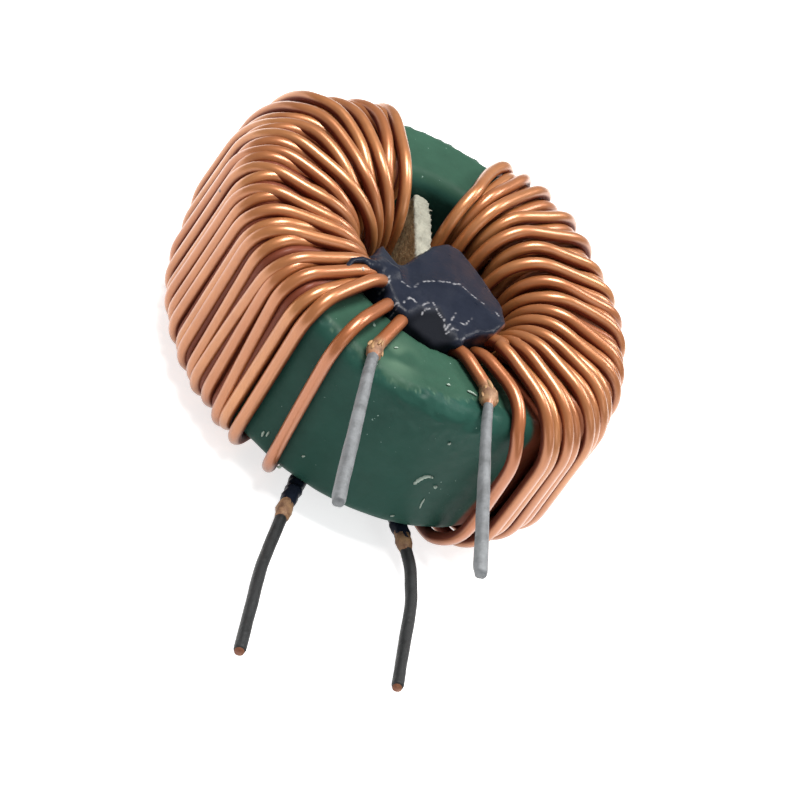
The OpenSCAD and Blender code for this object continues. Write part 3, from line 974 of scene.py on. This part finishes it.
def back_glue_distance(p):
    """The back adhesive: a low dome in its outline, with a finger along each back lead."""
    x, y, z = p[..., 0], p[..., 1], p[..., 2]
    dome = -COAT_TOP - 1 + 0.5 * (x ** 2 + (y + 4) ** 2) / 30
    side = outline_distance(p, BACK_GLUE) + 0.08 * rough(p, 1.5, 6)
    body = cut(side, dome - z + 0.04 * rough(p, 1.8, 7), 0.5)
    body = np.maximum(body, z - GLUE_DEPTH + COAT_TOP)
    level = -run_height()
    for name in ("back_left", "back_right"):
        exit_angle, layer, bends = LEADS[name][:3]
        start = polar(layer_radius(layer), exit_angle, level)
        rim, after = on_rim(bends[0], level), on_rim(bends[1], level)
        end = rim + 0.5 * unit(after - rim)
        finger = string_distance(p, (start, 0.5 * start + 0.5 * rim, rim, end),
                                 (0.85, 0.70, 0.60, 0.50))
        body = melt(body, finger + 0.05 * rough(p, 0.9, 8), 0.5)
    return body


# Painted glints of the front adhesive, pale lines along its ridges, crease and wire rims, as x and
# y
PAINTED_GLINT_LINES = (
    ((-3.75, -8.41), (-3.36, -7.74), (-3.08, -7.66), (-2.73, -7.88)),
    ((-4.43, -8.97), (-4.16, -8.53), (-4.03, -8.99), (-4.33, -9.19)),
    ((-5.39, -8.72), (-4.98, -8.57), (-4.69, -8.7)),
    ((-5.73, -8.5), (-5.56, -8.5)),
    ((-5.21, -6.61), (-5.03, -6.88), (-5.24, -7.52)),
    ((-2.23, -7.84), (-1.92, -7.25), (-1.71, -7.11)),
    ((-2.05, -8.27), (-1.82, -7.79), (-1.53, -7.55)),
    ((-1.43, -6.77), (-0.65, -7.54), (-0.26, -7.84), (-0.02, -8.68), (0.21, -8.09), (0.56, -6.77)),
    ((0.15, -8.89), (0.48, -8.36), (0.9, -8.37)),
    ((1.09, -7.43), (1.47, -7.46), (1.92, -6.56)),
    ((1.34, -9.02), (1.58, -8.54)),
    ((3.91, -4.45), (4.22, -4.82)),
    ((-4.05, -6.51), (-3.12, -6.69), (-2.74, -5.77), (-2.21, -5.2), (-1.17, -4.5), (-0.12, -4.01)),
    ((0.18, -3.97), (0.84, -3.43), (1.61, -3.96), (2.35, -4.33), (2.87, -4.39)),
)


def line_mark(p, lines, width):
    """How much each point lies on a line seen from the front, from 0 to 1, in strokes that come
    and go."""
    flat = p * [1, 1, 0]
    best = np.full(len(p), np.inf)
    for line in lines:
        places = [(x, y, 0) for x, y in line]
        best = np.minimum(best, string_distance(flat, places, [0] * len(places)))
    return (1 - ramp(best, 0.4 * width, width)) * np.clip(0.55 + 1.1 * rough(p, 0.4, 21), 0, 1)


# The divider: degrees that it is turned, how far it lies left of the middle, the height of its
# middle, half its height, and the end of its foot
BOARD_TURN, BOARD_LEFT, BOARD_MIDDLE, BOARD_HALF, BOARD_FOOT = 3.5, 0.45, 0.28, 4.42, -5.8
# Burrs along its torn edge: place along the board, and how far they reach out
BURRS = ((8.0, 0.22), (6.9, 0.16), (5.3, 0.2), (3.4, 0.14), (7.4, 0.12))


def board_frame(p):
    """Places in the divider's own frame: across its thickness, along it, and up."""
    c, s = np.cos(np.radians(BOARD_TURN)), np.sin(np.radians(BOARD_TURN))
    x, y, z = p[..., 0], p[..., 1], p[..., 2]
    return np.stack([x * c + y * s + BOARD_LEFT, y * c - x * s, z], -1)


def board_distance(p):
    """The divider: a flat board whose front cut edge is torn, more so along its right side,
    with small burrs standing out of it."""
    q = board_frame(p)
    x, y, z = q[..., 0], q[..., 1], q[..., 2]
    half = sizes().board / 2
    head = np.sqrt(sizes().coat_inner ** 2 - (BOARD_LEFT + half) ** 2) - 0.05
    torn = np.clip(0.10 + 0.11 * rough(p * [1, 1, 0.3], 1.9, 9), 0, 0.4) * ramp(z, 1.8, 4.5)
    torn = torn + 0.25 * ramp(y, 6.8, 9) * ramp(z, 2.5, 4.5)
    frayed = 0.03 * rough(p, 0.55, 10)
    right = x - half + 0.04 + torn + 0.6 * frayed * ramp(z, 2.2, 4.4)
    left = -x - half + 0.03
    ends = np.maximum(y - head, BOARD_FOOT - y) + 0.04 * (1 + rough(p, 0.6, 12))
    level = np.abs(z - BOARD_MIDDLE) - BOARD_HALF + 0.06 * rough(p, 0.8, 11) + frayed
    body = cut(cut(np.maximum(right, left), level, 0.12), ends, 0.1)
    for at, reach in BURRS:
        burr = rod_distance(q, (half - 0.12, at, 4.5), (half + reach, at + 0.12, 4.56),
                            (0.08, 0.035))
        body = melt(body, burr, 0.06)
    return body


def coat_profile():
    """Section of the coat from the middle of its outer wall over the front face, down the hole
    and back over the back face: radius, height and outward direction. Each straight stretch
    runs on to the next rounded corner, a quarter circle."""
    edge, top = sizes().coat_edge, COAT_TOP - sizes().coat_edge
    inner, outer = sizes().coat_inner + edge, COAT_RO - edge
    rows, last = [], (COAT_RO, -top)
    for count, r, z, start in ((30, outer, top, 0), (20, inner, top, 90),
                               (12, inner, -top, 180), (14, outer, -top, 270)):
        angle = np.radians(np.linspace(start, start + 90, 13))
        corner = np.stack([r + edge * np.cos(angle), z + edge * np.sin(angle)], -1)
        rows += [np.linspace(last, corner[0], count), corner[1:-1]]
        last = corner[-1]
    rows = np.concatenate(rows)
    core = np.clip(rows, [inner, -top], [outer, top])
    return rows, unit(rows - core + 1e-9)


def standing_out(points, path, sides):
    """For each point of a tube wound round the coat, how far it looks away from the coat, from
    -1 to 1: its direction from the tube's middle times the way out of the coat's section."""
    middle = np.concatenate([np.repeat(path[:, :3], sides, 0), path[:1, :3], path[-1:, :3]])
    r, z = np.hypot(middle[:, 0], middle[:, 1]), middle[:, 2]
    edge = sizes().coat_edge
    off_r = r - np.clip(r, sizes().coat_inner + edge, COAT_RO - edge)
    off_z = z - np.clip(z, edge - COAT_TOP, COAT_TOP - edge)
    away = unit(np.stack([middle[:, 0] / r * off_r, middle[:, 1] / r * off_r, off_z], -1) + 1e-9)
    return (unit(points - middle + 1e-9) * away).sum(-1)


# Lowest and highest corners of the spaces in which the skins are worked out
BOARD_SPACE = (-1.8, -6.2, -4.6), (1.4, 9.5, 5.1)
FRONT_GLUE_SPACE = (-9.3, -11, 0.9), (6, 3.2, 8.7)
BACK_GLUE_SPACE = (-8, -18.2, -8.3), (8, 0.6, -0.9)
# A bead of dust in the adhesive's loop
BEAD_AT, BEAD_R = (-7.45, -7.6, 8.1), 0.16


# ---------------------------------------------------------------- operators

# Camera: its place from the ring's centre, its right, up and backward directions, its lens
EYE = (-54.35, -133.50, 100.77)
CAMERA_AXES = ((0.8556, 0.0401, 0.5160), (-0.4031, 0.6769, 0.6159), (-0.3246, -0.7350, 0.5953))
LENS = 103.9
# Lamps: place and size in metres, watts and colour
LAMPS = {
    "key": ((-0.05, 0.04, 0.44), 0.20, 2.5, (1.0, 0.98, 0.95)),
    "side": ((0.27, 0.13, 0.34), 0.18, 0.9, (1.0, 0.98, 0.96)),
    "fill": ((0.30, -0.34, 0.28), 0.30, 0.3, (0.95, 0.98, 1.0)),
}
WORLD_COLOUR, WORLD_STRENGTH = (0.93, 0.96, 1.0, 1), 0.30
# Half the floor's width in metres, and the glow that the camera sees it by
FLOOR_HALF, FLOOR_GLOW = 1.5, 0.72


def new_object(name, data):
    """An object in the scene."""
    made = bpy.data.objects.new(name, data)
    bpy.context.scene.collection.objects.link(made)
    return made


def add_camera(scene):
    """The camera at its eye, with its three axes as the columns of its matrix."""
    data = bpy.data.cameras.new("camera")
    data.lens = LENS
    data.clip_start, data.clip_end = 0.01, 5
    scene.camera = new_object("camera", data)
    matrix = np.eye(4)
    matrix[:3, :3] = np.array(CAMERA_AXES).T
    matrix[:3, 3] = (np.array(EYE) + [0, 0, RING_Z]) * MM
    scene.camera.matrix_world = Matrix(matrix.tolist())


def add_lights(scene):
    """Round lamps that aim at the origin, and a pale world."""
    for name, (place, size, watts, tone) in LAMPS.items():
        light = bpy.data.lights.new(name, "AREA")
        light.shape, light.size, light.energy, light.color = "DISK", size, watts, tone
        lamp = new_object(name, light)
        lamp.location = place
        lamp.rotation_euler = (-Vector(place)).to_track_quat("-Z", "Y").to_euler()
    scene.world = bpy.data.worlds.new("studio")
    scene.world.use_nodes = True
    background = scene.world.node_tree.nodes["Background"]
    background.inputs["Color"].default_value = WORLD_COLOUR
    background.inputs["Strength"].default_value = WORLD_STRENGTH


def add_floor():
    """A white floor that glows only where the camera, a reflection or glass sees it."""
    mesh, h = bpy.data.meshes.new("floor"), FLOOR_HALF
    mesh.from_pydata([(-h, -h, 0), (h, -h, 0), (h, h, 0), (-h, h, 0)], [], [(0, 1, 2, 3)])
    new_object("floor", mesh)
    look = Look("floor")
    ray = add(look.tree, "ShaderNodeLightPath").outputs
    shiny = math(look.tree, "MAXIMUM", ray["Is Glossy Ray"], ray["Is Transmission Ray"])
    seen = math(look.tree, "MAXIMUM", ray["Is Camera Ray"], shiny)
    look.sets(Base_Color=(0.8, 0.8, 0.8, 1), Roughness=0.9, Emission_Color=(1, 1, 1, 1),
              Emission_Strength=math(look.tree, "MULTIPLY", seen, FLOOR_GLOW))
    mesh.materials.append(look.material)


class CHOKE_OT_stage(bpy.types.Operator):
    """Camera, lamps, pale world and white floor"""
    bl_idname = "choke.stage"
    bl_label = "Stage"

    def execute(self, context):
        context.scene.view_settings.view_transform = "Standard"
        add_camera(context.scene)
        add_lights(context.scene)
        add_floor()
        return {"FINISHED"}


class CHOKE_OT_windings(bpy.types.Operator):
    """The two copper windings, each one wire through all its turns, burnt near its tins, and
    the bed of lower turns that shows between the upper ones, darkened as painted shade"""
    bl_idname = "choke.windings"
    bl_label = "Windings"

    def execute(self, context):
        copper, count = copper_material(), 18
        for side, route in ROUTES.items():
            path = winding_path(side)
            along = path_length(path)
            radius, burn = np.full(len(path), sizes().wire / 2), np.zeros(len(path))
            for name, far in (("front_" + side, along), ("back_" + side, along[-1] - along)):
                past, burnt = far - tin_length(path, name), LEADS[name][3]
                burn = np.maximum(burn, (past > -0.2) * (1 - ramp(past, 0.8 * burnt, burnt + 1.1)))
                radius *= 1 + SWELL[name] * bell(past, 0.5 * burnt, 0.28 * burnt)
                radius = np.where(past < 0, BARE_R, radius)
            kept = along > INSIDE_TIP
            path, along, radius, burn = path[kept], along[kept], radius[kept], burn[kept]
            lumps = 0.10 * rough(tube_places(along, count), 0.8, 31) * burn[:, None]
            points, faces = tube(path, radius[:, None] * (1 + lumps), count)
            # Each turn has its own tone, blended into the next, and the leads are the deepest
            rng = np.random.default_rng(41)
            tones = rng.uniform(0, 0.7, sizes().turns)[path[:, 3].round().astype(int)]
            tones = np.convolve(np.pad(tones, 6, "edge"), np.ones(13) / 13, "valid")
            tones = np.where(path[:, 3] < DEEP_TONE_TO, 1, tones)
            scorched = np.where(radius == BARE_R, BARE_BURN, burn)
            # deep: painted shade on the sides of the wire that face the coat
            values = {"burn": per_ring(scorched, count), "tone": per_ring(tones, count),
                      "deep": 1 - ramp(standing_out(points, path, count), 0.0, 0.5)}
            new_piece("wound_wire_" + side, points, faces, copper, ["winding_" + side],
                      "enamelled_copper", values)
            points, faces = joined([tube(line, BED_R, 10) for line in lower_turns(side)])
            # The bed's deep value is painted shade, darker under the left winding
            values = {"burn": np.zeros(len(points)), "tone": np.full(len(points), 0.5),
                      "deep": np.full(len(points), route["bed_painted_shade"])}
            new_piece("lower_turns_" + side, points, faces, copper, [], "enamelled_copper",
                      values)
        return {"FINISHED"}


class CHOKE_OT_leads(bpy.types.Operator):
    """The tin on the four stripped leads, uneven along its length. The cut copper shows at the
    back leads' tips"""
    bl_idname = "choke.leads"
    bl_label = "Tinned leads"

    def execute(self, context):
        grey = tuple(finish().tin)
        light = tin_material("tin_light", grey, 0.35)
        # The back leads' tin is a copy at 0.15 of the grey: painted shade, as they lie in the
        # ring's shadow
        dark = tin_material("tin_painted_shade", shade(grey, 0.15), 0.5)
        for side in ("left", "right"):
            path = winding_path(side)
            for name in ("front_" + side, "back_" + side):
                front = name.startswith("front")
                whole = path if front else path[::-1]
                fine = resample(whole[path_length(whole) < tin_length(path, name) + 0.15], 0.16)
                fine = fine if front else fine[path_length(fine) > CUT_COPPER]
                count, along = 20, path_length(fine)
                start, tip = LEADS[name][4]
                share = 1 - along / along[-1]
                turn, spot = round_sides(count), tube_places(along, count)
                # From the start's radius to the tip's, uneven, rounded off at the very tip,
                # where a front lead is pinched on one side
                radius = (tip + (start - tip) * (1 - share)[:, None]) + 0 * turn
                radius *= 1 + 0.035 * rough(spot * [0.35, 1, 1], 1.2, 51 + len(name))
                radius *= 1 - 0.12 * ramp(share, 0.985, 1)[:, None]
                if front:
                    nib = bell(along, 0.15, 0.22)[:, None] * (np.cos(turn - 2.2) > 0.1)
                    radius *= 1 - 0.22 * nib
                points, faces = tube(fine, radius, count)
                new_piece("tin_sleeve_" + name, points, faces, light if front else dark,
                          ["tin_" + name], "tin")
        return {"FINISHED"}


class CHOKE_OT_flakes(bpy.types.Operator):
    """Flakes of scorched enamel that stand off the two front leads above their tin"""
    bl_idname = "choke.flakes"
    bl_label = "Scorched flakes"

    def execute(self, context):
        rng, made = np.random.default_rng(83), []
        for name, base in FLAKES_STAND_AT.items():
            path = winding_path(name[6:])
            far = path_length(path)
            tin = tin_length(path, name)
            for turn in np.linspace(0, 6.28, 9, endpoint=False) + rng.uniform(0, 0.5, 9):
                start, length = tin + rng.uniform(-0.15, 0.9), rng.uniform(0.5, 1.0)
                share = np.linspace(0, 1, 8)
                along = start + length * (1 - share)
                middle = np.stack([np.interp(along, far, path[:, i]) for i in range(3)], -1)
                ahead = unit(middle[-1] - middle[0])
                side = unit(np.cross(ahead, (0.3, 0.2, 1)))
                lean = np.cos(turn) * side + np.sin(turn) * np.cross(ahead, side)
                lift = base + rng.uniform(0.08, 0.28) * share ** 2
                width = 0.20 * np.sin(np.pi * np.clip(share * 0.9 + 0.08, 0, 1)) ** 0.6
                sides = round_sides(8)
                flat = 1 / np.hypot(np.cos(sides + turn), 2.5 * np.sin(sides + turn))
                made.append(tube(middle + lift[:, None] * lean, width[:, None] * flat, 8))
        points, faces = joined(made)
        new_piece("scorched_flakes", points, faces,
                  plain_material("scorched_enamel", (0.42, 0.25, 0.12, 1), 0.6, 2600), [],
                  "enamelled_copper")
        return {"FINISHED"}


class CHOKE_OT_coat(bpy.types.Operator):
    """The green coat over the ring, with a ragged outer edge, and the ring inside it"""
    bl_idname = "choke.coat"
    bl_label = "Coated ring"

    def execute(self, context):
        rows, outward = coat_profile()
        count = 620
        angle = np.linspace(0, 360, count, endpoint=False)[:, None]
        r, z = rows[None, :, 0], rows[None, :, 1]
        plain = polar(r, angle, z)
        noise = rough(plain, 3.0, 61)
        ragged = rough(plain, 0.9, 62)
        face_end = lookup(angle, FACE_END) + 0.14 * ragged + 0.10 * noise
        front = ramp(z, COAT_TOP - 0.9, COAT_TOP - 0.3)
        at_edge = bell(r - face_end, 0.25, 0.35) * front
        fine = rough(plain, 0.45, 64)
        # Folds of thick resin on the wall between the front leads
        fold = 1 - np.abs(rough(plain * [1, 1, 1.8], 1.6, 63))
        folded = bell(z, 4.6, 1.3) * ramp(angle, 250, 262) * (1 - ramp(angle, 287, 297))
        # The coat is sunk a little all over, and more where the face's lighter part ends and in the
        # folds
        sunk = 0.02 * (1 + noise) + 0.10 * at_edge * (0.6 + 0.5 * ragged) + 0.09 * folded * fold
        sunk = np.clip(sunk, 0, 0.25)
        points = polar(r - sunk * outward[None, :, 0], angle, z - sunk * outward[None, :, 1])
        # face: the lighter, greyer coat of the faces, partly dust and partly painted light, 0.6 of
        # it on the back face
        face = ramp(face_end - r, -0.12, 0.16) * front
        back = ramp(-z, COAT_TOP - 0.9, COAT_TOP - 0.2) * 0.6
        # A pale broken line where the face's lighter part ends, and a rubbed patch near the left
        # lead
        line = bell(r - face_end, 0.0, 0.08) * front * np.clip(1.6 * fine - 0.5, 0, 1)
        patch = bell(angle, 256, 4) * bell(r, 13.2, 1.3) * front * np.clip(0.5 + noise, 0, 1)
        rubbed = np.clip(0.6 * line + 0.6 * patch, 0, 1)
        # between: painted shade on the coat under the windings
        (left_from, left_to), (right_from, right_to) = WOUND
        left = ramp(angle, left_from, left_from + 3) * (1 - ramp(angle, left_to - 2, left_to))
        right = np.maximum(1 - ramp(angle, right_to - 3, right_to),
                           ramp(angle, right_from, right_from + 2))
        between = np.maximum(left, right) + 0 * r
        values = {"face": np.clip(face + back, 0, 1).ravel(), "rubbed": rubbed.ravel(),
                  "between": between.ravel()}
        faces = grid_faces(count, len(rows), wrap_rows=True)
        new_piece("coat_skin", points.reshape(-1, 3), [face[::-1] for face in faces],
                  coat_material(), ["epoxy_coat"], "green_epoxy", values)
        set_material("ferrite_ring", plain_material("ferrite", (0.03, 0.03, 0.033, 1), 0.7))
        return {"FINISHED"}


class CHOKE_OT_chips(bpy.types.Operator):
    """Chips of resin and dust stuck to the coat"""
    bl_idname = "choke.chips"
    bl_label = "Chips on the coat"

    def execute(self, context):
        made = []
        for kind, places, radius in CHIPS:
            first, second = np.array(places).T
            line = (polar(COAT_RO + 0.02, first, second) if kind == "wall" else
                    np.stack([first, second, 0 * first + COAT_TOP + 0.02], -1))
            path = resample(line, 0.07)
            share = np.linspace(0, 1, len(path))
            width = radius * (0.35 + 0.65 * np.sin(np.pi * share) ** 0.5)
            bent = eased(path, 0.14, 0.07) if len(path) > 9 else path
            width *= 1 + 0.2 * rough(np.stack([share * 9, share, share], -1), 1, 71)
            made.append(tube(bent, width[:, None], 9))
        points, faces = joined(made)
        new_piece("coat_chips", points, faces,
                  plain_material("resin_chip", (0.36, 0.45, 0.38, 1), 0.5), [], "green_epoxy")
        return {"FINISHED"}


class CHOKE_OT_divider(bpy.types.Operator):
    """The fibre board across the hole, its cut edge torn"""
    bl_idname = "choke.divider"
    bl_label = "Divider"

    def execute(self, context):
        points, faces = skin(board_distance, *BOARD_SPACE, 0.12)
        own = board_frame(points)
        cut_edge = ramp(np.abs(own[:, 2] - BOARD_MIDDLE) + 0.06 * rough(points, 0.4, 13), 4.14, 4.3)
        cut_edge = np.maximum(cut_edge, ramp(own[:, 1], 8.7, 8.85))
        new_piece("divider_fibre", points, faces, board_material(), ["divider_board"],
                  "fibre_board", {"cut": cut_edge})
        return {"FINISHED"}


class CHOKE_OT_adhesive(bpy.types.Operator):
    """The black adhesive in both ends of the hole"""
    bl_idname = "choke.adhesive"
    bl_label = "Adhesive"

    def execute(self, context):
        black = glue_material()
        points, faces = skin(front_glue_distance, *FRONT_GLUE_SPACE, sizes().glue_step)
        edge = outline_distance(points, FRONT_GLUE)
        high = ramp(points[:, 2], 6.2, 6.8)
        outer = ramp(points[:, 0] + 0.5 * points[:, 1], -1.5, 0.5)
        # sunk: painted shade in the recess
        sunk = ramp(-outline_distance(points, RECESS), -0.2, 0.5)
        # thin: brown rim along the upper and right edge, partly thin adhesive, partly a painted
        # reflection of the copper
        thin = ramp(edge, -0.16, 0.0) * high * outer * (1 - sunk)
        thin = thin * np.clip(0.7 + 0.6 * rough(points, 1.1, 14), 0, 1)
        # Pale painted glints along the listed lines
        painted_glint = line_mark(points, PAINTED_GLINT_LINES, 0.075) * ramp(points[:, 2], 6.3, 6.6)
        new_piece("glue_front_skin", points, faces, black, ["glue_front"], "black_adhesive",
                  {"thin": thin, "painted_glint": painted_glint, "sunk": sunk})
        points, faces = skin(back_glue_distance, *BACK_GLUE_SPACE, 0.18)
        new_piece("glue_back_skin", points, faces, black, ["glue_back"], "black_adhesive",
                  {key: np.zeros(len(points)) for key in ("thin", "painted_glint", "sunk")})
        new_piece("dust_bead", *ball(BEAD_AT, BEAD_R),
                  plain_material("dust", (0.55, 0.52, 0.45, 1), 0.7), [], "black_adhesive")
        return {"FINISHED"}


class CHOKE_PT_panel(bpy.types.Panel):
    """Buttons for each group of pieces"""
    bl_idname = "CHOKE_PT_panel"
    bl_label = "Toroidal choke"
    bl_space_type = "VIEW_3D"
    bl_region_type = "UI"
    bl_category = "Choke"

    def draw(self, context):
        for group in (context.scene.choke_sizes, context.scene.choke_finish):
            for name in group.__annotations__:
                self.layout.prop(group, name)
        for operator in OPERATORS:
            self.layout.operator(operator.bl_idname)


OPERATORS = (CHOKE_OT_stage, CHOKE_OT_windings, CHOKE_OT_leads, CHOKE_OT_flakes, CHOKE_OT_coat,
             CHOKE_OT_chips, CHOKE_OT_divider, CHOKE_OT_adhesive)
CLASSES = (ChokeSizes, ChokeFinish) + OPERATORS + (CHOKE_PT_panel,)


def register():
    for cls in CLASSES:
        bpy.utils.register_class(cls)
    bpy.types.Scene.choke_sizes = bpy.props.PointerProperty(type=ChokeSizes)
    bpy.types.Scene.choke_finish = bpy.props.PointerProperty(type=ChokeFinish)


def unregister():
    del bpy.types.Scene.choke_finish
    del bpy.types.Scene.choke_sizes
    for cls in reversed(CLASSES):
        bpy.utils.unregister_class(cls)


def main():
    register()
    for operator in OPERATORS:
        group, name = operator.bl_idname.split(".")
        getattr(getattr(bpy.ops, group), name)()


if __name__ == "__main__":
    main()
